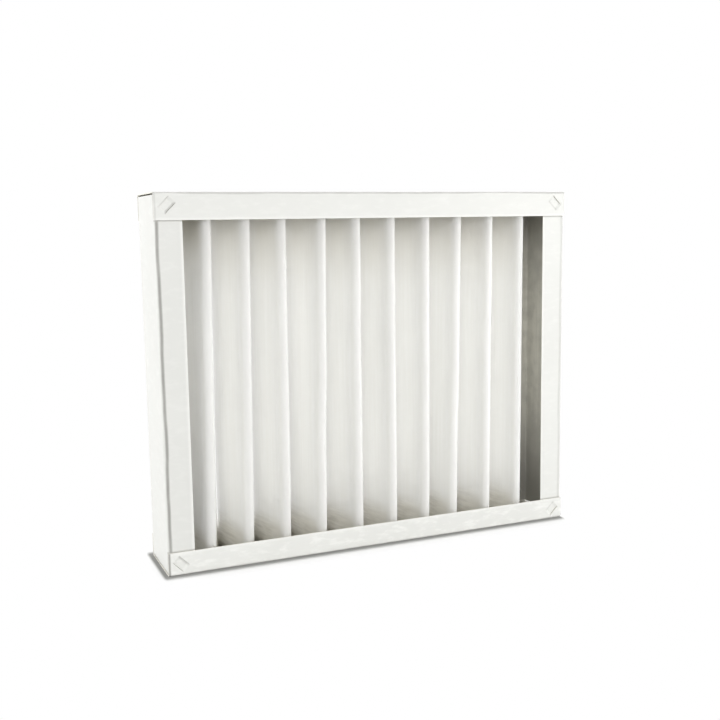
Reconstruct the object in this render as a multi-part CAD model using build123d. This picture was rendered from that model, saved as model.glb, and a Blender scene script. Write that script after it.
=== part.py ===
from build123d import *
import os
from math import asin, atan2, cos, degrees, floor, hypot, radians, sin, sqrt

# Pleated panel air filter, in millimetres, at its real size.
# X runs across the width, Y through the depth with the dirty-air front at -Y, and Z up.
# The origin is the middle of the bottom face, so the filter stands on its bottom rail.

os.makedirs("parts", exist_ok=True)

# ---- Frame: overall size of the folded sheet-metal frame ----
frame_width = 295.0
frame_height = 240.0
frame_depth = 48.0

# ---- Rails: four channels folded from one thickness of sheet ----
sheet = 0.7
bend_inside_radius = 0.8
side_flange = 17.4
top_flange = 17.0
bottom_flange = 15.0
lap_clearance = 0.1
rail_end_gap = 1.0

# ---- Corner clinches: a strap lanced through both lapped flanges and pressed inwards ----
clinch_length = 9.5
clinch_width = 6.0
clinch_outset = 0.6
clinch_depth = 0.8
clinch_ramp = 1.8
clinch_slit = 0.15

# ---- Filter pack: fibre mat laid on welded wire mesh, and folded with it ----
pleat_pitch = 25.3
pack_shift = -2.6
mat_thickness = 2.0
fold_inside_radius = 0.4
tip_clearance = 0.3
hem_lap = 8.5

# ---- Support mesh ----
wire = 0.8
row_pitch = 20.0
upright_pitch = 13.0
row_end_margin = 7.0
upright_end_margin = 2.0
leg_end_margin = 5.0

# ---- Adhesive ----
sealant_depth = 1.5
sealant_clearance = 0.1
glue_thickness = 0.9
glue_width = 6.0
glue_end_margin = 4.0

# ---- Derived: planes of the frame ----
half_width = frame_width / 2
half_depth = frame_depth / 2
bend_outside_radius = bend_inside_radius + sheet
lapped_sheets = 2 * sheet + lap_clearance
side_rail_depth = frame_depth - 2 * (sheet + lap_clearance)
side_rail_length = frame_height - 2 * (sheet + rail_end_gap)
clinch_reach = lapped_sheets + clinch_depth

# ---- Derived: the folded line of the pack ----
laminate = mat_thickness + wire
fold_outside_radius = fold_inside_radius + laminate
fold_radius = fold_inside_radius + laminate / 2
mat_front = -laminate / 2
mat_back = mat_front + mat_thickness
wire_back = mat_back + wire
pack_front = -half_depth + sheet + tip_clearance
pack_back = half_depth - lapped_sheets - glue_thickness
front_fold_y = pack_front + fold_outside_radius
back_fold_y = pack_back - fold_outside_radius
half_pitch = pleat_pitch / 2
pack_room = frame_width - 2 * (side_flange + abs(pack_shift))
pleat_count = floor(pack_room / pleat_pitch)
fold_rise = back_fold_y - front_fold_y
fold_span = hypot(half_pitch, fold_rise)
leg_angle = atan2(half_pitch, fold_rise) - asin(2 * fold_radius / fold_span)
leg_length = sqrt(fold_span**2 - (2 * fold_radius) ** 2)
back_fold_x = [pack_shift + (i - pleat_count / 2) * pleat_pitch for i in range(pleat_count + 1)]
front_fold_x = [x + half_pitch for x in back_fold_x[:-1]]
hem_end_x = half_width - side_flange + hem_lap
pack_bottom = sheet + sealant_depth
pack_top = frame_height - sheet - sealant_depth


# ---- Rails ----
def channel(depth, flange, length, web_plane):
    """A U channel: its web lies on the plane, whose x runs through the depth and y points out."""
    half = depth / 2
    outside = FilletPolyline(
        (-half, -flange), (-half, 0), (half, 0), (half, -flange), radius=bend_outside_radius
    )
    inner = half - sheet
    inside = FilletPolyline(
        (-inner, -flange), (-inner, -sheet), (inner, -sheet), (inner, -flange),
        radius=bend_inside_radius,
    )
    ends = [Line((-half, -flange), (-inner, -flange)), Line((half, -flange), (inner, -flange))]
    section = make_face(outside.edges() + inside.edges() + ends)
    return extrude(web_plane * section, amount=length / 2, both=True)


def clinch_plane(right, top, front, surface_y):
    """Plane of one corner clinch: origin on the flange's face, x along the strap, z inwards."""
    x = half_width - side_flange / 2 + clinch_outset
    z = frame_height - top_flange / 2 + clinch_outset if top else bottom_flange / 2
    across = 1 if right == top else -1
    return Plane(
        origin=(x if right else -x, -surface_y if front else surface_y, z),
        x_dir=(1, 0, -across),
        z_dir=(0, 1 if front else -1, 0),
    )


def clinch_window(plane):
    """The slot that the lancing punch opens in one sheet."""
    slot = Box(clinch_length, clinch_width, sheet, align=(Align.CENTER, Align.CENTER, Align.MIN))
    return plane * slot


def clinch_strap(plane):
    """The strip left in the slot, pressed in with a ramp at each end."""
    end = clinch_length / 2
    flat = end - clinch_ramp
    outer = [(-end, 0), (-flat, clinch_depth), (flat, clinch_depth), (end, 0)]
    inner = [(x, y + sheet) for x, y in reversed(outer)]
    side_view = make_face(Polyline(*outer, *inner, close=True))
    standing = Plane(origin=(0, 0, 0), x_dir=(1, 0, 0), z_dir=(0, -1, 0))
    strap_width = clinch_width - 2 * clinch_slit
    return plane * extrude(standing * side_view, amount=strap_width / 2, both=True)


def with_clinches(rail, corners, surface_y):
    """Lance the clinches of the given corners into both flanges of a rail."""
    for right, top in corners:
        for front in (True, False):
            plane = clinch_plane(right, top, front, surface_y)
            rail = rail - clinch_window(plane) + clinch_strap(plane)
    return rail


def cross_rail(top):
    """Top or bottom rail: it runs the full width, and its flanges lap over the side rails."""
    level = frame_height if top else 0
    outwards = 1 if top else -1
    web_plane = Plane(origin=(0, 0, level), x_dir=(0, 1, 0), z_dir=(outwards, 0, 0))
    flange = top_flange if top else bottom_flange
    rail = channel(frame_depth, flange, frame_width, web_plane)
    return with_clinches(rail, [(False, top), (True, top)], half_depth)


def side_rail(right):
    """Left or right rail: it stands between the webs of the cross rails, inside their flanges."""
    outwards = 1 if right else -1
    web_plane = Plane(
        origin=(outwards * half_width, 0, frame_height / 2), x_dir=(0, 1, 0), z_dir=(0, 0, -outwards)
    )
    rail = channel(side_rail_depth, side_flange, side_rail_length, web_plane)
    return with_clinches(rail, [(right, False), (right, True)], side_rail_depth / 2)


# ---- Filter pack ----
def folded_line(offset):
    """Edges of a line that follows the folded pack, set off towards its back face."""
    front_radius = fold_radius - offset
    back_radius = fold_radius + offset
    tilt = degrees(leg_angle)
    turn = 180 - 2 * tilt
    hem_y = back_fold_y + back_radius
    toward = (cos(leg_angle), sin(leg_angle))
    edges = [Line((-hem_end_x, hem_y), (back_fold_x[0], hem_y))]
    edges.append(CenterArc((back_fold_x[0], back_fold_y), back_radius, tilt, turn / 2))
    for left_x, tip_x, right_x in zip(back_fold_x, front_fold_x, back_fold_x[1:]):
        front_side = (front_radius * toward[0], front_radius * toward[1])
        back_side = (back_radius * toward[0], back_radius * toward[1])
        tip_y = front_fold_y - front_side[1]
        root_y = back_fold_y + back_side[1]
        edges.append(Line((left_x + back_side[0], root_y), (tip_x - front_side[0], tip_y)))
        edges.append(CenterArc((tip_x, front_fold_y), front_radius, 180 + tilt, turn))
        edges.append(Line((tip_x + front_side[0], tip_y), (right_x - back_side[0], root_y)))
        last = right_x == back_fold_x[-1]
        start = 90 if last else tilt
        edges.append(CenterArc((right_x, back_fold_y), back_radius, start, turn / 2 if last else turn))
    edges.append(Line((back_fold_x[-1], hem_y), (hem_end_x, hem_y)))
    return edges


def pleated_mat():
    """The fibre mat: one strip of constant thickness, folded, and as tall as the pack."""
    front_line = folded_line(mat_front)
    back_line = folded_line(mat_back)
    right_end = Line(front_line[-1] @ 1, back_line[-1] @ 1)
    left_end = Line(back_line[0] @ 0, front_line[0] @ 0)
    outline = Face(Wire([*front_line, right_end, *reversed(back_line), left_end]))
    return Pos(0, 0, pack_bottom) * extrude(outline, amount=pack_top - pack_bottom)


def fold_corners(centre_x, centre_y, outwards, radius, level):
    """Two bends of a wire with a flat apex, at a height above a fold's centre."""
    half_flat = (radius - level * sin(leg_angle)) / cos(leg_angle)
    y = centre_y + outwards * level
    return [(centre_x - half_flat, y), (centre_x + half_flat, y)]


def wire_line(offset, apex_drop):
    """Corners of one side of a row wire, which crosses each fold with a flat apex."""
    back_radius = fold_radius + offset
    front_radius = fold_radius - offset
    chord = (fold_radius - mat_back) * sin(leg_angle)
    hem_y = back_fold_y + back_radius
    points = [(-hem_end_x, hem_y)]
    for index, x in enumerate(back_fold_x):
        corners = fold_corners(x, back_fold_y, 1, back_radius, back_radius)
        if index == 0:
            corners = corners[1:]
        elif index == pleat_count:
            corners = corners[:1]
        points += corners
        if index < pleat_count:
            level = chord - apex_drop
            points += fold_corners(front_fold_x[index], front_fold_y, -1, front_radius, level)
    points.append((hem_end_x, hem_y))
    return points


def row_wires():
    """The mesh's level wires, which zigzag with the mat."""
    points = wire_line(mat_back, 0) + wire_line(wire_back, wire)[::-1]
    one = extrude(make_face(Polyline(*points, close=True)), amount=wire)
    room = pack_top - pack_bottom - 2 * row_end_margin - wire
    count = floor(room / row_pitch) + 1
    first = (pack_bottom + pack_top - wire - (count - 1) * row_pitch) / 2
    return [Pos(0, 0, first + i * row_pitch) * one for i in range(count)]


def upright_wires():
    """The mesh's upright wires, welded on the back of the level ones along each leg."""
    height = pack_top - pack_bottom - 2 * upright_end_margin
    count = floor((leg_length - 2 * leg_end_margin) / upright_pitch) + 1
    reach = wire_back + wire / 2
    bars = []
    for tip_x in front_fold_x:
        for side in (-1, 1):
            along = (-side * sin(leg_angle), -cos(leg_angle))
            behind = (-side * cos(leg_angle), sin(leg_angle))
            middle_x = tip_x + side * half_pitch / 2
            middle_y = (front_fold_y + back_fold_y) / 2
            for i in range(count):
                run = (i - (count - 1) / 2) * upright_pitch
                x = middle_x + run * along[0] + reach * behind[0]
                y = middle_y + run * along[1] + reach * behind[1]
                bar = Box(wire, wire, height)
                place = Pos(x, y, (pack_bottom + pack_top) / 2)
                bars.append(place * Rot(0, 0, -side * degrees(leg_angle)) * bar)
    return bars


# ---- Adhesive ----
def sealant(top):
    """The adhesive layer on a cross rail's web, in which the pack's zigzag edge stands."""
    middle_x = half_width - side_flange - sealant_clearance
    middle_y = half_depth - bend_outside_radius
    end_y = half_depth - clinch_reach - sealant_clearance
    middle = Box(2 * middle_x, 2 * middle_y, sealant_depth)
    ends = Box(2 * hem_end_x, 2 * end_y, sealant_depth)
    z = frame_height - sheet - sealant_depth / 2 if top else sheet + sealant_depth / 2
    return Pos(0, 0, z) * (middle + ends)


def glue_strip(right):
    """The adhesive between the pack's end hem and the side rail's back flange."""
    low = pack_bottom + bottom_flange + glue_end_margin
    high = pack_top - top_flange - glue_end_margin
    x = half_width - side_flange + glue_width / 2
    y = pack_back + glue_thickness / 2
    strip = Box(glue_width, glue_thickness, high - low)
    return Pos(x if right else -x, y, (low + high) / 2) * strip


# ---- Build ----
nodes = {
    "top_rail": cross_rail(top=True),
    "bottom_rail": cross_rail(top=False),
    "left_rail": side_rail(right=False),
    "right_rail": side_rail(right=True),
    "pleated_media": pleated_mat(),
    "support_mesh": Compound(children=row_wires() + upright_wires()),
    "top_sealant": sealant(top=True),
    "bottom_sealant": sealant(top=False),
    "left_glue_strip": glue_strip(right=False),
    "right_glue_strip": glue_strip(right=True),
}

for name, shape in nodes.items():
    export_step(shape, f"parts/{name}.step")
    print(f"{name}: {len(shape.solids())} solids, {shape.volume / 1000:.2f} cm3")
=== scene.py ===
import math

import bpy
import numpy as np
from mathutils import Matrix, Vector


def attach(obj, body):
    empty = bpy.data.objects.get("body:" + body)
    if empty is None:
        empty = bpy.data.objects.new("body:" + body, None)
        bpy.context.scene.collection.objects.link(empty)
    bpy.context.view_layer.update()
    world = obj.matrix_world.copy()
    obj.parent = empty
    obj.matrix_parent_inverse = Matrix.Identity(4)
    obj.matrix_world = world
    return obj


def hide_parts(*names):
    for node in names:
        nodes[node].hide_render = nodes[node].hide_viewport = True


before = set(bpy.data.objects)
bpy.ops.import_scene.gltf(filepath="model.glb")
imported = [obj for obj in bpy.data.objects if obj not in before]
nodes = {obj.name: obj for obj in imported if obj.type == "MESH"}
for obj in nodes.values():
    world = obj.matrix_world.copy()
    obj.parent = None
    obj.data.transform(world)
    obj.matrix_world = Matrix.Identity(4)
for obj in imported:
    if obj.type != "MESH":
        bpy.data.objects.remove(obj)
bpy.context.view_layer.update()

MM = 0.001

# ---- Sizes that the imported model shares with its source, in millimetres ----
FRAME_WIDTH = 295.0
FRAME_HEIGHT = 240.0
FRAME_DEPTH = 48.0
SIDE_FLANGE = 17.4
TOP_FLANGE = 17.0
BOTTOM_FLANGE = 15.0
CLINCH_LENGTH = 9.5
CLINCH_WIDTH = 6.0
CLINCH_OUTSET = 0.6
CLINCH_X = FRAME_WIDTH / 2 - SIDE_FLANGE / 2 + CLINCH_OUTSET
CLINCH_TOP_Z = FRAME_HEIGHT - TOP_FLANGE / 2 + CLINCH_OUTSET
CLINCH_BOTTOM_Z = BOTTOM_FLANGE / 2
PLEAT_COUNT = 10
PLEAT_PITCH = 25.3
PACK_SHIFT = -2.6
MAT_THICKNESS = 2.0
WIRE = 0.8
FOLD_RADIUS = 1.8
HEM_END_X = 138.6
PACK_FRONT = -23.0
PACK_BACK = 21.6
PACK_BOTTOM = 2.2
PACK_TOP = 237.8
ROW_PITCH = 20.0
ROW_COUNT = 12
UPRIGHT_PITCH = 13.0
UPRIGHTS_PER_LEG = 3
UPRIGHT_END = 2.0
WEB_INNER = 0.7
GLUE_THICKNESS = 0.9
GLUE_WIDTH = 6.0
GLUE_LOW = 21.2
GLUE_HIGH = 216.8

# ---- The poured sealant, in millimetres: its bead, and how it wets the edge of the mat ----
BEAD_HALF_LENGTH = 138.0
BEAD_HALF_WIDTH = 20.9
BEAD_RIM = 0.3
BEAD_CROWN = 1.1
BEAD_WAVE = 0.35
BEAD_ROUND_END = 1.1
WETTING_RISE = 1.3
WETTING_REACH = 2.2

# ---- The hand-laid glue, as shares of its width and its thickness ----
GLUE_END_SHARE = 0.25
GLUE_SPREAD = 0.90
GLUE_SPREAD_STRAY = 0.09
GLUE_SLIMMING = 0.55

# ---- Derived: the layers of the mat and its mesh, from front to back, and the folds' middles ----
LAMINATE = MAT_THICKNESS + WIRE
MAT_FRONT = -LAMINATE / 2
MAT_BACK = MAT_FRONT + MAT_THICKNESS
WIRE_MIDDLE = MAT_BACK + WIRE / 2
# The upright wires are sunk a tenth of a wire into the level ones, as they are welded.
UPRIGHT_MIDDLE = WIRE_MIDDLE + 0.9 * WIRE
FRONT_FOLD_Y = PACK_FRONT + FOLD_RADIUS + LAMINATE / 2
BACK_FOLD_Y = PACK_BACK - FOLD_RADIUS - LAMINATE / 2

# ---- How the real pack's folds stray from an even pitch, and its legs swell, in millimetres ----
TIP_STRAY_TOP = (1.9, 1.7, 0.1, 2.4, 1.2, 1.1, 1.9, 1.3, 0.9, 0.8)
TIP_STRAY_BOTTOM = (-2.3, -2.2, -1.5, -1.4, 0.4, 0.7, 0.5, -2.9, -1.4, -0.9)
TIP_BOW = 0.35
TIP_DEPTH_STRAY = 0.15
BACK_FOLD_STRAY = 0.5
MAT_BULGE = -0.45
BULGE_STRAY = 0.25
BULGE_ROUNDNESS = 0.7

# ---- How finely the pieces are meshed ----
HEM_STEPS = 4
MAT_HEIGHT_STEPS = 46
MAT_ARC_STEPS = 8
MAT_LEG_STEPS = 9
WIRE_ARC_STEPS = 5
WIRE_LEG_STEPS = 3
WIRE_SIDES = 8
UPRIGHT_STEPS = 12
BEAD_COLUMNS = 180
BEAD_ROWS = 26
GLUE_COLUMNS = 9
GLUE_ROWS = 80

# ---- The slow wave that makes things uneven: sines of 1, 2, 3 and 4 times one rate ----
WAVE_SINES = 4
WAVE_RATE = 1.7
WAVE_SEED_STEP = 2.39
WAVE_SIZE = 1.6


# ---- Shape of the pack ----
def smooth_noise(x, seed):
    """A slow, repeatable wave of about unit size."""
    value = 0.0
    for k in range(1, WAVE_SINES + 1):
        value += math.sin(x * k * WAVE_RATE + seed * WAVE_SEED_STEP * k) / k
    return value / WAVE_SIZE


def fold_centres(z):
    """Centres of all folds at a height, from the first back fold to the last."""
    share = (z - PACK_BOTTOM) / (PACK_TOP - PACK_BOTTOM)
    first = PACK_SHIFT - PLEAT_COUNT / 2 * PLEAT_PITCH
    centres = []
    for k in range(2 * PLEAT_COUNT + 1):
        x = first + k * PLEAT_PITCH / 2
        bow = math.sin(math.pi * share)
        if k % 2:
            tip = k // 2
            x += TIP_STRAY_BOTTOM[tip] + share * (TIP_STRAY_TOP[tip] - TIP_STRAY_BOTTOM[tip])
            x += TIP_BOW * bow * smooth_noise(3 * share, k)
            y = FRONT_FOLD_Y + TIP_DEPTH_STRAY * (1 + smooth_noise(2 * share, k + 40))
        else:
            x += BACK_FOLD_STRAY * smooth_noise(2 * share, k)
            y = BACK_FOLD_Y
        centres.append((x, y))
    return centres


def leg_angle(start, end):
    """How far a leg between two folds leans from the pack's depth, as it runs tangent to both."""
    dx, dy = end[0] - start[0], abs(end[1] - start[1])
    return math.atan2(dx, dy) - math.asin(2 * FOLD_RADIUS / math.hypot(dx, dy))


def folded_path(z, offset, arc_steps, leg_steps, bulge=0.0):
    """Points (x, y) along the folded pack at a height, set off towards its back."""
    centres = fold_centres(z)
    hem_y = BACK_FOLD_Y + FOLD_RADIUS + offset
    normals = []
    for start, end in zip(centres, centres[1:]):
        angle = leg_angle(start, end)
        normals.append(angle if start[1] > end[1] else math.pi - angle)
    normals = [math.pi / 2] + normals + [math.pi / 2]
    path = []
    for i in range(HEM_STEPS):
        path.append((-HEM_END_X + (centres[0][0] + HEM_END_X) * i / HEM_STEPS, hem_y))
    for k, (x, y) in enumerate(centres):
        before, after = normals[k], normals[k + 1]
        back = k % 2 == 0
        radius = FOLD_RADIUS + (offset if back else -offset)
        sign = 1 if back else -1
        for i in range(arc_steps + 1):
            a = before + (after - before) * i / arc_steps
            path.append((x + sign * radius * math.cos(a), y + sign * radius * math.sin(a)))
        if k + 1 == len(centres):
            break
        nx, ny = centres[k + 1]
        next_radius = FOLD_RADIUS + (offset if not back else -offset)
        normal = (math.cos(after), math.sin(after))
        start = (x + sign * radius * normal[0], y + sign * radius * normal[1])
        end = (nx - sign * next_radius * normal[0], ny - sign * next_radius * normal[1])
        for i in range(1, leg_steps):
            t = i / leg_steps
            loft = bulge * math.sin(math.pi * t) ** BULGE_ROUNDNESS
            loft *= 1 + BULGE_STRAY * smooth_noise(z * 0.03 + 5 * t, k + 7)
            path.append((
                start[0] + (end[0] - start[0]) * t + loft * normal[0],
                start[1] + (end[1] - start[1]) * t + loft * normal[1],
            ))
    for i in range(1, HEM_STEPS + 1):
        path.append((x + (HEM_END_X - x) * i / HEM_STEPS, hem_y))
    return path


def mesh_object(name, vertices, faces):
    """A smooth mesh object from points in millimetres."""
    mesh = bpy.data.meshes.new(name)
    mesh.from_pydata([(x * MM, y * MM, z * MM) for x, y, z in vertices], [], faces)
    mesh.validate()
    mesh.polygons.foreach_set("use_smooth", [True] * len(mesh.polygons))
    piece = bpy.data.objects.new(name, mesh)
    bpy.context.scene.collection.objects.link(piece)
    return piece


def grid_faces(rows, columns, first=0, close_columns=False, flip=False):
    """Quads of a grid of points stored row by row."""
    faces = []
    last = columns if close_columns else columns - 1
    for r in range(rows - 1):
        for c in range(last):
            a = first + r * columns + c
            b = first + r * columns + (c + 1) % columns
            quad = (a, b, b + columns, a + columns)
            faces.append(quad[::-1] if flip else quad)
    return faces


def make_mat():
    """The fibre mat: a closed folded sheet whose front face swells a little between the folds."""
    vertices = []
    ring = 0
    for r in range(MAT_HEIGHT_STEPS + 1):
        z = PACK_BOTTOM + (PACK_TOP - PACK_BOTTOM) * r / MAT_HEIGHT_STEPS
        front = folded_path(z, MAT_FRONT, MAT_ARC_STEPS, MAT_LEG_STEPS, bulge=MAT_BULGE)
        back = folded_path(z, MAT_BACK, MAT_ARC_STEPS, MAT_LEG_STEPS)
        line = front + back[::-1]
        ring = len(line)
        vertices += [(x, y, z) for x, y in line]
    faces = grid_faces(MAT_HEIGHT_STEPS + 1, ring, close_columns=True)
    half = ring // 2
    for base, flip in ((0, True), (MAT_HEIGHT_STEPS * ring, False)):
        for c in range(half - 1):
            quad = (base + c, base + c + 1, base + ring - 2 - c, base + ring - 1 - c)
            faces.append(quad[::-1] if flip else quad)
    return mesh_object("filter_mat_pleats", vertices, faces)


def tube(points, radius, sides):
    """Vertices and faces of a round wire along points, with closed ends."""
    pts = np.array(points, float)
    tangents = np.gradient(pts, axis=0)
    tangents /= np.linalg.norm(tangents, axis=1)[:, None]
    vertices, faces = [], []
    reference = np.array((0.0, 0.0, 1.0))
    upright = abs(tangents[0] @ reference) > 0.9
    if upright:
        reference = np.array((0.0, 1.0, 0.0))
    for p, t in zip(pts, tangents):
        u = np.cross(t, reference)
        u /= np.linalg.norm(u)
        v = np.cross(t, u)
        for s in range(sides):
            a = 2 * math.pi * s / sides
            vertices.append(tuple(p + radius * (math.cos(a) * u + math.sin(a) * v)))
    faces = grid_faces(len(pts), sides, close_columns=True)
    faces.append(tuple(range(sides))[::-1])
    faces.append(tuple(range((len(pts) - 1) * sides, len(pts) * sides)))
    return vertices, faces


def make_wires():
    """The welded mesh: level wires folded with the mat, and upright wires behind them."""
    vertices, faces = [], []

    def add(points):
        more, quads = tube(points, WIRE / 2, WIRE_SIDES)
        start = len(vertices)
        vertices.extend(more)
        faces.extend(tuple(i + start for i in q) for q in quads)

    first = (PACK_BOTTOM + PACK_TOP - (ROW_COUNT - 1) * ROW_PITCH) / 2
    for r in range(ROW_COUNT):
        z = first + r * ROW_PITCH
        add([(x, y, z) for x, y in folded_path(z, WIRE_MIDDLE, WIRE_ARC_STEPS, WIRE_LEG_STEPS)])
    heights = np.linspace(PACK_BOTTOM + UPRIGHT_END, PACK_TOP - UPRIGHT_END, UPRIGHT_STEPS + 1)
    for leg in range(2 * PLEAT_COUNT):
        for i in range(UPRIGHTS_PER_LEG):
            line = []
            for z in heights:
                start, end = fold_centres(z)[leg:leg + 2]
                angle = leg_angle(start, end)
                rises = start[1] > end[1]
                normal = (math.cos(angle) if rises else -math.cos(angle), math.sin(angle))
                along = (math.sin(angle), -math.cos(angle) if rises else math.cos(angle))
                run = (i - (UPRIGHTS_PER_LEG - 1) / 2) * UPRIGHT_PITCH
                x = (start[0] + end[0]) / 2 + run * along[0] + UPRIGHT_MIDDLE * normal[0]
                y = (start[1] + end[1]) / 2 + run * along[1] + UPRIGHT_MIDDLE * normal[1]
                line.append((x, y, z))
            add(line)
    return mesh_object("support_wire_grid", vertices, faces)


def closed_slab(name, low_rows, high_rows):
    """A closed piece between two grids of points with the same rows and columns."""
    rows, columns = len(low_rows), len(low_rows[0])
    vertices = [point for grid in (low_rows, high_rows) for row in grid for point in row]
    above = rows * columns
    faces = grid_faces(rows, columns, flip=True) + grid_faces(rows, columns, first=above)
    rim = list(range(columns))
    rim += [r * columns + columns - 1 for r in range(1, rows)]
    rim += [(rows - 1) * columns + c for c in range(columns - 2, -1, -1)]
    rim += [r * columns for r in range(rows - 2, 0, -1)]
    for a, b in zip(rim, rim[1:] + rim[:1]):
        faces.append((a, b, b + above, a + above))
    return mesh_object(name, vertices, faces)


def make_sealant(top):
    """A poured bead on a rail's web: uneven, and drawn up where it wets the pack's edge."""
    web_face = FRAME_HEIGHT - WEB_INNER if top else WEB_INNER
    up = -1.0 if top else 1.0
    seed = 3 if top else 11
    track = np.array(folded_path(PACK_TOP if top else PACK_BOTTOM, 0.0, arc_steps=4, leg_steps=8))
    low_rows, high_rows = [], []
    for r in range(BEAD_ROWS):
        across = 2 * r / (BEAD_ROWS - 1) - 1
        low, high = [], []
        for c in range(BEAD_COLUMNS):
            share = 2 * c / (BEAD_COLUMNS - 1) - 1
            x = share * BEAD_HALF_LENGTH
            round_end = BEAD_ROUND_END * abs(share) ** 24
            wave = BEAD_WAVE * smooth_noise(x * 0.05 + r, seed)
            y = across * (BEAD_HALF_WIDTH - round_end + 0.5 * wave)
            near = float(np.min(np.hypot(track[:, 0] - x, track[:, 1] - y)))
            drawn = WETTING_RISE * math.exp(-(near / WETTING_REACH) ** 2)
            # The high powers keep the bead level, and round it off only close to its rim.
            crown = (1 - across ** 8) * (1 - abs(share) ** 30)
            depth = BEAD_CROWN * crown + BEAD_RIM + (0.5 * wave + drawn) * crown
            low.append((x, y, web_face))
            high.append((x, y, web_face + up * depth))
        low_rows.append(low)
        high_rows.append(high)
    if top:
        low_rows, high_rows = high_rows, low_rows
    return closed_slab("top_sealant_bead" if top else "bottom_sealant_bead", low_rows, high_rows)


def make_glue_strip(right):
    """A hand-laid bead between the pack's hem and the side rail's back flange."""
    side = 1.0 if right else -1.0
    seed = 5 if right else 17
    middle = side * (FRAME_WIDTH / 2 - SIDE_FLANGE + GLUE_WIDTH / 2)
    front_rows, back_rows = [], []
    for r in range(GLUE_ROWS):
        share = r / (GLUE_ROWS - 1)
        z = GLUE_LOW + (GLUE_HIGH - GLUE_LOW) * share
        round_end = math.sqrt(max(0.0, 1 - (2 * share - 1) ** 16))
        spread = GLUE_SPREAD + GLUE_SPREAD_STRAY * smooth_noise(z * 0.12, seed)
        half = GLUE_WIDTH / 2 * (GLUE_END_SHARE + (1 - GLUE_END_SHARE) * round_end) * spread
        front, back = [], []
        for c in range(GLUE_COLUMNS):
            u = 2 * c / (GLUE_COLUMNS - 1) - 1
            x = middle + half * u
            belly = GLUE_THICKNESS * (1 - GLUE_SLIMMING * u ** 4)
            front.append((x, PACK_BACK + (GLUE_THICKNESS - belly) * 0.5, z))
            back.append((x, PACK_BACK + GLUE_THICKNESS - (GLUE_THICKNESS - belly) * 0.5, z))
        front_rows.append(front)
        back_rows.append(back)
    return closed_slab("right_glue_bead" if right else "left_glue_bead", back_rows, front_rows)


# ---- Materials ----
class Graph:
    """A short way to build the node tree of a material or a world."""

    def __init__(self, owner):
        self.owner = owner
        owner.use_nodes = True
        self.tree = owner.node_tree
        self.tree.nodes.clear()

    def put(self, socket, value):
        """Links another socket to this one, or sets its value."""
        if isinstance(value, bpy.types.NodeSocket):
            self.tree.links.new(value, socket)
        else:
            socket.default_value = value

    def node(self, kind, inputs=None, **settings):
        """A node with its settings and its inputs, which are values or other sockets."""
        node = self.tree.nodes.new(kind)
        for key, value in settings.items():
            setattr(node, key, value)
        for key, value in (inputs or {}).items():
            self.put(node.inputs[key], value)
        return node

    def math(self, operation, a, b=0.0, clamp=False):
        inputs = {0: a, 1: b}
        return self.node("ShaderNodeMath", inputs, operation=operation, use_clamp=clamp).outputs[0]

    def plus(self, a, b):
        return self.math("ADD", a, b)

    def minus(self, a, b):
        return self.math("SUBTRACT", a, b)

    def times(self, a, b, clamp=False):
        return self.math("MULTIPLY", a, b, clamp)

    def rest(self, share):
        """What a share leaves of 1."""
        return self.math("SUBTRACT", 1.0, share)

    def distance(self, a, b):
        """How far apart two values are."""
        return self.math("ABSOLUTE", self.math("SUBTRACT", a, b))

    def ramp(self, value, low, high):
        """0 below low, 1 above high, smooth between."""
        node = self.node(
            "ShaderNodeMapRange",
            {"Value": value, "From Min": low, "From Max": high, "To Min": 0.0, "To Max": 1.0},
            interpolation_type="SMOOTHSTEP",
        )
        return node.outputs["Result"]

    def rise(self, value, span):
        """A ramp of a length from one place to another, both in millimetres."""
        return self.ramp(value, span[0] * MM, span[1] * MM)

    def mix(self, share, a, b):
        """Colour a, or b as far as the share says."""
        node = self.node("ShaderNodeMix", data_type="RGBA")
        for number, value in ((0, share), (6, a), (7, b)):
            self.put(node.inputs[number], value)
        return node.outputs[2]

    def noise(self, vector, waves, detail=3.0, roughness=0.5):
        """Noise from 0 to 1, with so many waves in a metre along each axis."""
        vector = self.node("ShaderNodeMapping", {"Vector": vector, "Scale": waves}).outputs[0]
        inputs = {"Vector": vector, "Scale": 1.0, "Detail": detail, "Roughness": roughness}
        return self.node("ShaderNodeTexNoise", inputs).outputs["Fac"]

    def place(self):
        """Position as one vector, and position and normal by axis, in the piece's own frame."""
        coordinates = self.node("ShaderNodeTexCoord")
        position = self.node("ShaderNodeSeparateXYZ", {0: coordinates.outputs["Object"]})
        normal = self.node("ShaderNodeSeparateXYZ", {0: coordinates.outputs["Normal"]})
        return coordinates.outputs["Object"], position.outputs, normal.outputs

    def seen(self):
        """1 for rays from the camera or off a glossy surface, and 0 for those that only light."""
        path = self.node("ShaderNodeLightPath")
        return self.math("MAXIMUM", path.outputs["Is Camera Ray"], path.outputs["Is Glossy Ray"])

    def bump(self, height, distance, strength, normal=None):
        """A normal that a height tilts; on top of another normal if one is given."""
        inputs = {"Height": height, "Distance": distance, "Strength": strength}
        if normal is not None:
            inputs["Normal"] = normal
        return self.node("ShaderNodeBump", inputs).outputs[0]

    def surface(self, inputs):
        """Ends a material with a plain surface that has these inputs."""
        shader = self.node("ShaderNodeBsdfPrincipled", inputs)
        return self.finish(shader.outputs[0])

    def finish(self, shader):
        self.node("ShaderNodeOutputMaterial", {"Surface": shader})
        return self.owner


def new_graph(name):
    """The node tree of a new material."""
    return Graph(bpy.data.materials.new(name))


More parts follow.
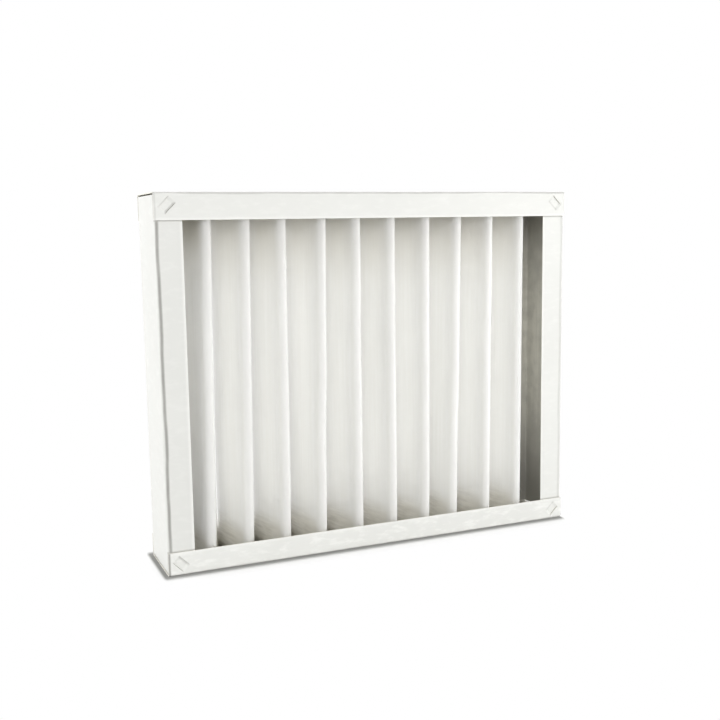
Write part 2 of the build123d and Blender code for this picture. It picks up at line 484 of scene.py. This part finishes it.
# ---- The rails' coat: its colours, and the places and widths of its painted shade and highlight, in millimetres ----
WHITE_COAT = (0.700, 0.702, 0.672, 1)
BACK_COAT = (0.82, 0.803, 0.728, 1)
# The next colour is painted shade: the dark line along the bends, along a cross rail's left end
# and beside the clinches.
PAINTED_SHADE = (0.230, 0.225, 0.207, 1)
# The next colour paints lighter scuffs, and a painted highlight along the flanges' free edges.
SCUFF_AND_HIGHLIGHT_COAT = (0.790, 0.790, 0.762, 1)
LAP_SHADE = (0.385, 0.380, 0.357, 1)
WEB_REACH = 3.0
# How far in from a flange's free edge the painted highlight begins and is full.
EDGE_HIGHLIGHT_SPAN = (2.2, 0.6)
LINE_WANDER = 3.0
LAP_WIDTH = (0.1, 1.5)
# Where the painted shade lies along a cross rail's left end.
END_SHADE_INSET = 0.9
END_SHADE_WIDTH = (0.2, 1.1)
# Where the painted shadow lies beside each clinch.
CLINCH_SHADE_INSET = 0.6
CLINCH_SHADE_WIDTH = (0.3, 1.1)


def shade_of(colour, share):
    """The same colour, darker or lighter by a share."""
    return tuple(c * share for c in colour[:3]) + (1,)


def clinch_shade(g, position, mottle, on_face):
    """Painted shadow along the side of each corner clinch that faces the filter's middle."""
    outer = g.minus(g.math("ABSOLUTE", position[0]), CLINCH_X * MM)
    above_middle = g.math("GREATER_THAN", position[2], FRAME_HEIGHT / 2 * MM)
    from_top = g.minus(position[2], CLINCH_TOP_Z * MM)
    from_bottom = g.minus(CLINCH_BOTTOM_Z * MM, position[2])
    rise = g.times(above_middle, from_top)
    rise = g.plus(rise, g.times(g.rest(above_middle), from_bottom))
    along = g.times(g.minus(outer, rise), math.sqrt(0.5))
    inwards = g.times(g.plus(outer, rise), -math.sqrt(0.5))
    off_edge = g.distance(inwards, (CLINCH_WIDTH / 2 - CLINCH_SHADE_INSET) * MM)
    across = g.rest(g.rise(off_edge, CLINCH_SHADE_WIDTH))
    reach = CLINCH_LENGTH / 2 * MM
    ends = g.rest(g.ramp(g.math("ABSOLUTE", along), 0.75 * reach, 1.05 * reach))
    slit_shade = g.times(across, g.times(ends, on_face))
    return g.times(slit_shade, g.plus(0.10, g.times(mottle, 0.30)))


def coated_sheet(name, web_axis, web_at, flange, line_at, line_reach, line_depth,
                 tone=1.0, scuff=0.4, laps=(), end_depth=0.0):
    """White coil-coated sheet: satin outside, greyer inside, with a wavy line of painted shade at
    its bends.

    web_axis is 0 or 2, the axis that the rail's web faces, and web_at its place on that axis.
    flange is how far the flanges reach from the web. line_at, line_reach and line_depth say how
    far from the web the painted shade line lies, how wide it fades and how dark it is. tone paints
    light: it makes this rail's coat lighter or darker after how the light falls on it, and scuff
    says how much it is rubbed. laps are the heights where another rail's flange ends on this one,
    each with the way that it shades. end_depth is how dark the painted shade is along a cross
    rail's left end.
    """
    g = new_graph(name)
    vector, position, normal = g.place()
    upright = web_axis == 0

    # Where the point lies: on a flange or the web, and outside or inside the channel.
    outwards = 1.0 if web_at > (0 if upright else FRAME_HEIGHT / 2) * MM else -1.0
    side_y = g.math("SIGN", position[1])
    out_y = g.times(side_y, normal[1])
    out_web = g.times(normal[web_axis], outwards)
    from_web = g.distance(position[web_axis], web_at)
    near_web = g.math("LESS_THAN", from_web, WEB_REACH * MM)
    facing = g.plus(out_y, g.times(out_web, near_web))
    inside = g.ramp(g.times(facing, -1.0), -0.25, 0.05)
    on_face = g.ramp(out_y, 0.05, 0.3)
    cloud = g.noise(vector, (14, 14, 14), 2.0)
    fine = g.noise(vector, (260, 260, 260), 4.0, 0.6)
    mottle = g.noise(vector, (55, 55, 55), 4.0, 0.6)
    smudge = g.noise(vector, (90, 90, 240), 3.0, 0.6)

    # The coat outside, the greyer one inside, which painted shade darkens towards a side rail's
    # ends, and a painted highlight along the flanges' free edges.
    # tone paints light into this rail's coat, outside and in its scuffs.
    coat_light, coat_dark = shade_of(WHITE_COAT, tone), shade_of(WHITE_COAT, 0.965 * tone)
    coat = g.mix(g.ramp(cloud, 0.3, 0.7), coat_light, coat_dark)
    coat = g.mix(g.times(g.ramp(smudge, 0.46, 0.72), scuff), coat, shade_of(SCUFF_AND_HIGHLIGHT_COAT, tone))
    back = g.mix(g.ramp(mottle, 0.35, 0.7), BACK_COAT, shade_of(BACK_COAT, 0.74))
    # Painted shade: the inside of a side rail darkens towards its ends.
    from_middle = g.distance(position[2], 0.55 * FRAME_HEIGHT * MM)
    shade_mask = g.rise(from_middle, (0.10 * FRAME_HEIGHT, 0.52 * FRAME_HEIGHT))
    drawn = g.ramp(g.noise(vector, (300, 300, 12), 3.0, 0.6), 0.3, 0.7)
    back = g.mix(g.times(drawn, 0.5), back, shade_of(BACK_COAT, 0.78))
    back = g.mix(g.times(shade_mask, 0.95 if upright else 0.0), back, shade_of(BACK_COAT, 0.45))
    colour = g.mix(inside, coat, back)
    # A painted highlight along the flanges' free edges.
    edge_highlight = g.times(g.rise(from_web, [flange - inset for inset in EDGE_HIGHLIGHT_SPAN]), on_face)
    colour = g.mix(g.times(edge_highlight, 0.5), colour, SCUFF_AND_HIGHLIGHT_COAT)

    # The painted shade line that wanders along the bend.
    sway = g.noise(vector, (0, 0, 17) if upright else (17, 0, 0), 2.0)
    wander = g.times(g.minus(sway, 0.5), LINE_WANDER * MM)
    off_line = g.distance(g.plus(from_web, wander), line_at * MM)
    line = g.rest(g.rise(off_line, (0.2 * line_reach, line_reach)))
    line = g.times(line, g.plus(0.6, g.times(mottle, 0.7)), clamp=True)
    line = g.times(line, g.times(on_face, line_depth))
    colour = g.mix(line, colour, PAINTED_SHADE)

    # The shade under another rail's lap, and painted shade at a cross rail's left end and at the
    # clinches.
    for level, way in laps:
        past = g.times(g.minus(position[2], level * MM), way)
        lap = g.rest(g.rise(past, LAP_WIDTH))
        lap = g.times(lap, g.times(on_face, 0.75))
        colour = g.mix(lap, colour, LAP_SHADE)
    # Painted shade along a cross rail's left end, running on from the side rail's bend line.
    from_end = g.plus(position[0], (FRAME_WIDTH / 2 - END_SHADE_INSET) * MM)
    from_end = g.math("ABSOLUTE", g.plus(from_end, g.times(wander, 0.4)))
    end_shade = g.rest(g.rise(from_end, END_SHADE_WIDTH))
    colour = g.mix(g.times(end_shade, g.times(on_face, end_depth)), colour, PAINTED_SHADE)
    colour = g.mix(clinch_shade(g, position, mottle, on_face), colour, PAINTED_SHADE)

    rough = g.plus(0.36, g.times(fine, 0.12))
    rough = g.plus(rough, g.times(inside, 0.12))
    dent = g.bump(cloud, 1.2 * MM, 0.35)
    peel = g.bump(fine, 0.03 * MM, 0.35, dent)
    return g.surface({
        "Base Color": colour, "Roughness": rough, "Normal": peel, "Specular IOR Level": 0.5,
    })


# ---- The mat: its colours, and the heights, depths and widths of its painted shade and dust, in millimetres ----
FIBRE_DARK = (0.945, 0.940, 0.895, 1)
FIBRE_LIGHT = (0.985, 0.982, 0.945, 1)
FIBRE_CLOUD = (0.93, 0.925, 0.875, 1)
# The next colour is painted shade, at the mat's bottom and top near the rails.
MAT_SHADE = (0.76, 0.733, 0.645, 1)
TIP_DUST = (0.865, 0.855, 0.790, 1)
# The next colour is painted shade, in the deep valleys and the first valley.
VALLEY_SHADE = (0.42, 0.395, 0.325, 1)
# The heights of the painted shade at the mat's bottom and top.
SHADE_AT_BOTTOM = (PACK_BOTTOM + 11, PACK_BOTTOM + 27)
SHADE_AT_TOP = (PACK_TOP - 66, PACK_TOP - 16)
FOLD_TIPS = (FRONT_FOLD_Y - 1.5, FRONT_FOLD_Y + 3.5)
# The depths where the valleys get painted shade.
SHADED_DEPTH = (FRONT_FOLD_Y + 1.0, FRONT_FOLD_Y + 16.0)
FIRST_VALLEY = (PACK_SHIFT - 118, PACK_SHIFT - 113)
UNDER_TOP_RAIL = (PACK_TOP - 46, PACK_TOP - 14)
LIGHT_REACH = 26.0


def fibre_mat():
    """White non-woven mat: drawn fibres, soft and slightly see-through."""
    g = new_graph("filter_mat_fibre")
    vector, position, _ = g.place()
    streak = g.noise(vector, (420, 420, 14), 4.0, 0.65)
    fuzz = g.noise(vector, (900, 900, 350), 4.0, 0.7)
    cloud = g.noise(vector, (60, 60, 18), 3.0, 0.55)
    colour = g.mix(g.ramp(streak, 0.3, 0.7), FIBRE_DARK, FIBRE_LIGHT)
    colour = g.mix(g.times(g.ramp(cloud, 0.35, 0.75), 0.35), colour, FIBRE_CLOUD)

    # Painted shade at the bottom and at the top, and dust on the folds that face the air.
    low = g.rest(g.rise(position[2], SHADE_AT_BOTTOM))
    high = g.rise(position[2], SHADE_AT_TOP)
    low = g.times(low, 1.6)
    shaded_ends = g.plus(0.50, g.times(cloud, 0.5))
    shaded_ends = g.times(g.plus(low, high), shaded_ends, clamp=True)
    colour = g.mix(shaded_ends, colour, MAT_SHADE)
    tips = g.rest(g.rise(position[1], FOLD_TIPS))
    colour = g.mix(g.times(tips, 0.75), colour, TIP_DUST)

    # Painted shade in the bottoms of the valleys near the bottom, and in the first valley close
    # under the top rail.
    wash = g.noise(vector, (45, 45, 330), 3.0, 0.6)
    deep = g.rise(position[1], SHADED_DEPTH)
    deep_shade = g.times(g.times(low, deep), 0.30, clamp=True)
    deep_shade = g.times(deep_shade, g.ramp(wash, 0.30, 0.70))
    outer = g.rest(g.rise(position[0], FIRST_VALLEY))
    upper = g.rise(position[2], UNDER_TOP_RAIL)
    shaded = g.times(g.times(outer, upper), 0.75)
    shade_mask = g.math("MAXIMUM", deep_shade, shaded)
    colour = g.mix(shade_mask, colour, VALLEY_SHADE)

    soft = g.bump(cloud, 0.9 * MM, 0.5)
    grain = g.bump(g.plus(streak, fuzz), 0.16 * MM, 0.6, soft)
    return g.surface({
        "Base Color": colour, "Roughness": 0.95, "Normal": grain, "Specular IOR Level": 0.15,
        "Subsurface Weight": 1.0, "Subsurface Radius": (1.0, 1.0, 1.0),
        "Subsurface Scale": LIGHT_REACH * MM,
    })


ZINC_DARK = (0.42, 0.43, 0.44, 1)
ZINC_LIGHT = (0.62, 0.63, 0.64, 1)
MELT_DARK = (0.50, 0.47, 0.40, 1)
MELT_LIGHT = (0.62, 0.60, 0.53, 1)


def zinc_wire():
    """Dull zinc-coated wire."""
    g = new_graph("zinc_coated_wire")
    vector = g.place()[0]
    spots = g.noise(vector, (500, 500, 500), 4.0, 0.6)
    colour = g.mix(g.ramp(spots, 0.3, 0.7), ZINC_DARK, ZINC_LIGHT)
    rough = g.plus(0.32, g.times(spots, 0.25))
    return g.surface({
        "Base Color": colour, "Roughness": rough, "Metallic": 0.9,
        "Normal": g.bump(spots, 0.05 * MM, 0.5),
    })


def hot_melt():
    """Dull, slightly waxy adhesive."""
    g = new_graph("hot_melt_adhesive")
    vector = g.place()[0]
    flow = g.noise(vector, (30, 90, 90), 3.0, 0.5)
    colour = g.mix(g.ramp(flow, 0.3, 0.7), MELT_DARK, MELT_LIGHT)
    return g.surface({
        "Base Color": colour, "Roughness": 0.42, "Normal": g.bump(flow, 0.8 * MM, 0.6),
        "Subsurface Weight": 0.2, "Subsurface Radius": (1.0, 0.9, 0.7),
        "Subsurface Scale": 1.0 * MM,
    })


def dress(piece, material):
    piece.data.materials.clear()
    piece.data.materials.append(material)


def dress_rails():
    """Each rail's own coat: its painted shade line, its painted tone, and the shade where the
    cross rails lap the sides.
    """
    half = FRAME_WIDTH / 2 * MM
    top = FRAME_HEIGHT * MM
    laps = ((FRAME_HEIGHT - TOP_FLANGE, -1.0), (BOTTOM_FLANGE, 1.0))
    # tone paints light: the left rail's coat is darker and the bottom rail's lighter, after how
    # the light falls on them.
    dress(nodes["top_rail"], coated_sheet(
        "coat_top", 2, top, TOP_FLANGE,
        line_at=0.5, line_reach=1.3, line_depth=0.40, tone=0.995, scuff=0.25, end_depth=0.2,
    ))
    dress(nodes["bottom_rail"], coated_sheet(
        "coat_bottom", 2, 0.0, BOTTOM_FLANGE,
        line_at=0.5, line_reach=1.0, line_depth=0.2, tone=1.02, scuff=0.8, end_depth=0.8,
    ))
    for side, at, tone, depth in (("left", -half, 0.955, 0.8), ("right", half, 1.0, 0.25)):
        dress(nodes[side + "_rail"], coated_sheet(
            "coat_" + side, 0, at, SIDE_FLANGE,
            line_at=1.9, line_reach=1.5, line_depth=depth, tone=tone, scuff=0.25, laps=laps,
        ))


# ---- Surroundings: the floor's shades, and how far from the object they reach in millimetres ----
FLOOR_HALF_SIZE_M = 6.0
FLOOR_COLOUR = (0.90, 0.90, 0.90, 1)
SHADOW_COLOUR = (0.30, 0.30, 0.29, 1)
WHITE = (1, 1, 1, 1)
SHADOW_CORE = 1.5
SHADOW_REACH = 9.0
BACKDROP_AT = 18.0
SHADOW_SQUEEZE = 2.8
SHADOW_SHIFT = 1.5
RELIEF_OUTSET = (3.0, 1.0)
RELIEF_SHADE = (2.0, 4.5)
AMBIENT = 0.60


def make_floor():
    """A pale floor that reads as white to the camera and keeps the object's shadow.

    The shadow reaches less far beside the object than before and behind it, and a small local
    shade keeps the floor dark where it shows through the corner relief at the right.
    """
    size = FLOOR_HALF_SIZE_M
    mesh = bpy.data.meshes.new("floor")
    corners = [(-size, -size, 0), (size, -size, 0), (size, size, 0), (-size, size, 0)]
    mesh.from_pydata(corners, [], [(0, 1, 2, 3)])
    floor = bpy.data.objects.new("floor", mesh)
    bpy.context.scene.collection.objects.link(floor)
    g = new_graph("pale_floor")
    position = g.place()[1]
    half_width, half_depth = FRAME_WIDTH / 2, FRAME_DEPTH / 2
    past = []
    across = g.plus(position[0], SHADOW_SHIFT * MM)
    for place, half, squeeze in (
        (across, half_width, SHADOW_SQUEEZE), (position[1], half_depth, 1.0),
    ):
        beyond = g.minus(g.math("ABSOLUTE", place), half * MM)
        past.append(g.times(g.math("MAXIMUM", beyond, 0.0), squeeze))
    clear = g.plus(g.math("POWER", past[0], 2.0), g.math("POWER", past[1], 2.0))
    clear = g.math("SQRT", clear)
    seen = g.seen()
    relief = (half_width + RELIEF_OUTSET[0]) * MM, (half_depth + RELIEF_OUTSET[1]) * MM
    off_relief = [g.math("POWER", g.minus(position[k], relief[k]), 2.0) for k in (0, 1)]
    off_relief = g.rise(g.math("SQRT", g.plus(*off_relief)), RELIEF_SHADE)
    under = g.rest(g.rise(clear, (SHADOW_CORE, SHADOW_REACH)))
    under = g.math("MAXIMUM", under, g.rest(off_relief))
    colour = g.mix(g.times(under, seen), FLOOR_COLOUR, SHADOW_COLOUR)
    matt = g.node("ShaderNodeBsdfDiffuse", {"Color": colour})
    white = g.node("ShaderNodeEmission", {"Color": WHITE, "Strength": 1.0})
    share = g.times(seen, g.rise(clear, (SHADOW_CORE, BACKDROP_AT)))
    share = g.times(share, off_relief)
    shader = g.node("ShaderNodeMixShader", {0: share, 1: matt.outputs[0], 2: white.outputs[0]})
    floor.data.materials.append(g.finish(shader.outputs[0]))


def make_world():
    """Even white light from all around, before a white backdrop."""
    world = bpy.data.worlds.new("studio")
    bpy.context.scene.world = world
    g = Graph(world)
    seen = g.seen()
    around = g.node("ShaderNodeBackground", {"Color": WHITE, "Strength": AMBIENT}).outputs[0]
    backdrop = g.node("ShaderNodeBackground", {"Color": WHITE, "Strength": 1.0}).outputs[0]
    mix = g.node("ShaderNodeMixShader", {0: seen, 1: around, 2: backdrop})
    g.node("ShaderNodeOutputWorld", {"Surface": mix.outputs[0]})


def area_light(name, place, target, size, power):
    """A soft lamp that lights the object and stays out of every picture."""
    light = bpy.data.lights.new(name, "AREA")
    light.shape = "RECTANGLE"
    light.size, light.size_y = size
    light.energy = power
    lamp = bpy.data.objects.new(name, light)
    lamp.location = place
    aim = Vector(target) - Vector(place)
    lamp.rotation_euler = aim.to_track_quat("-Z", "Y").to_euler()
    lamp.visible_camera = False
    bpy.context.scene.collection.objects.link(lamp)


def make_lights():
    """Five soft lamps, all aimed at the filter's middle: place and size in metres, and watts."""
    middle = (0.0, 0.0, FRAME_HEIGHT / 2 * MM)
    for name, place, size, power in (
        ("softbox_front", (-1.05, -1.95, 0.98), (1.2, 1.0), 17.4),
        ("softbox_right", (0.80, -0.60, 0.45), (0.5, 0.6), 4.0),
        ("softbox_left", (-1.20, 0.40, 0.45), (0.8, 0.8), 7.2),
        ("softbox_back", (0.60, 1.50, 0.70), (1.4, 1.0), 12.5),
        ("softbox_top", (0.0, 0.1, 1.80), (1.2, 1.0), 5.3),
    ):
        area_light(name, place, middle, size, power)


# ---- Camera: fitted to the edges of the frame, in a 720 by 720 picture ----
PICTURE = 720
FOCAL_PIXELS = 984.8
SENSOR = 36.0
CAMERA_YAW = math.radians(23.335)
CAMERA_PITCH = math.radians(7.677)
CAMERA_ROLL = math.radians(-0.879)
CAMERA_FROM_CORNER = (-0.5177, -2.490, 0.9043)


def make_camera():
    """The camera's place is in frame heights from the bottom-left-front corner."""
    ahead = Vector((
        math.sin(CAMERA_YAW) * math.cos(CAMERA_PITCH),
        math.cos(CAMERA_YAW) * math.cos(CAMERA_PITCH),
        -math.sin(CAMERA_PITCH),
    ))
    level = Vector((math.cos(CAMERA_YAW), -math.sin(CAMERA_YAW), 0))
    above = level.cross(ahead)
    right = math.cos(CAMERA_ROLL) * level + math.sin(CAMERA_ROLL) * above
    up = -math.sin(CAMERA_ROLL) * level + math.cos(CAMERA_ROLL) * above
    corner = Vector((-FRAME_WIDTH / 2, -FRAME_DEPTH / 2, 0))
    place = (corner + Vector(CAMERA_FROM_CORNER) * FRAME_HEIGHT) * MM
    turn = Matrix((right, up, -ahead)).transposed().to_4x4()
    data = bpy.data.cameras.new("photo_camera")
    data.sensor_width = SENSOR
    data.lens = FOCAL_PIXELS / PICTURE * SENSOR
    data.clip_start = 0.01
    camera = bpy.data.objects.new("photo_camera", data)
    camera.matrix_world = Matrix.Translation(place) @ turn
    bpy.context.scene.collection.objects.link(camera)
    bpy.context.scene.camera = camera


def main():
    make_camera()
    make_floor()
    make_world()
    make_lights()
    bpy.context.scene.view_settings.view_transform = "Standard"
    dress_rails()
    adhesive = hot_melt()
    beads = {
        "top_sealant": make_sealant(top=True),
        "bottom_sealant": make_sealant(top=False),
        "left_glue_strip": make_glue_strip(right=False),
        "right_glue_strip": make_glue_strip(right=True),
    }
    for name, bead in beads.items():
        dress(bead, adhesive)
        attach(bead, "root")
        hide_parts(name)
    mat = make_mat()
    dress(mat, fibre_mat())
    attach(mat, "root")
    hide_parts("pleated_media")
    wires = make_wires()
    wires.visible_shadow = False
    wires.visible_diffuse = False
    dress(wires, zinc_wire())
    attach(wires, "root")
    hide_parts("support_mesh")


main()
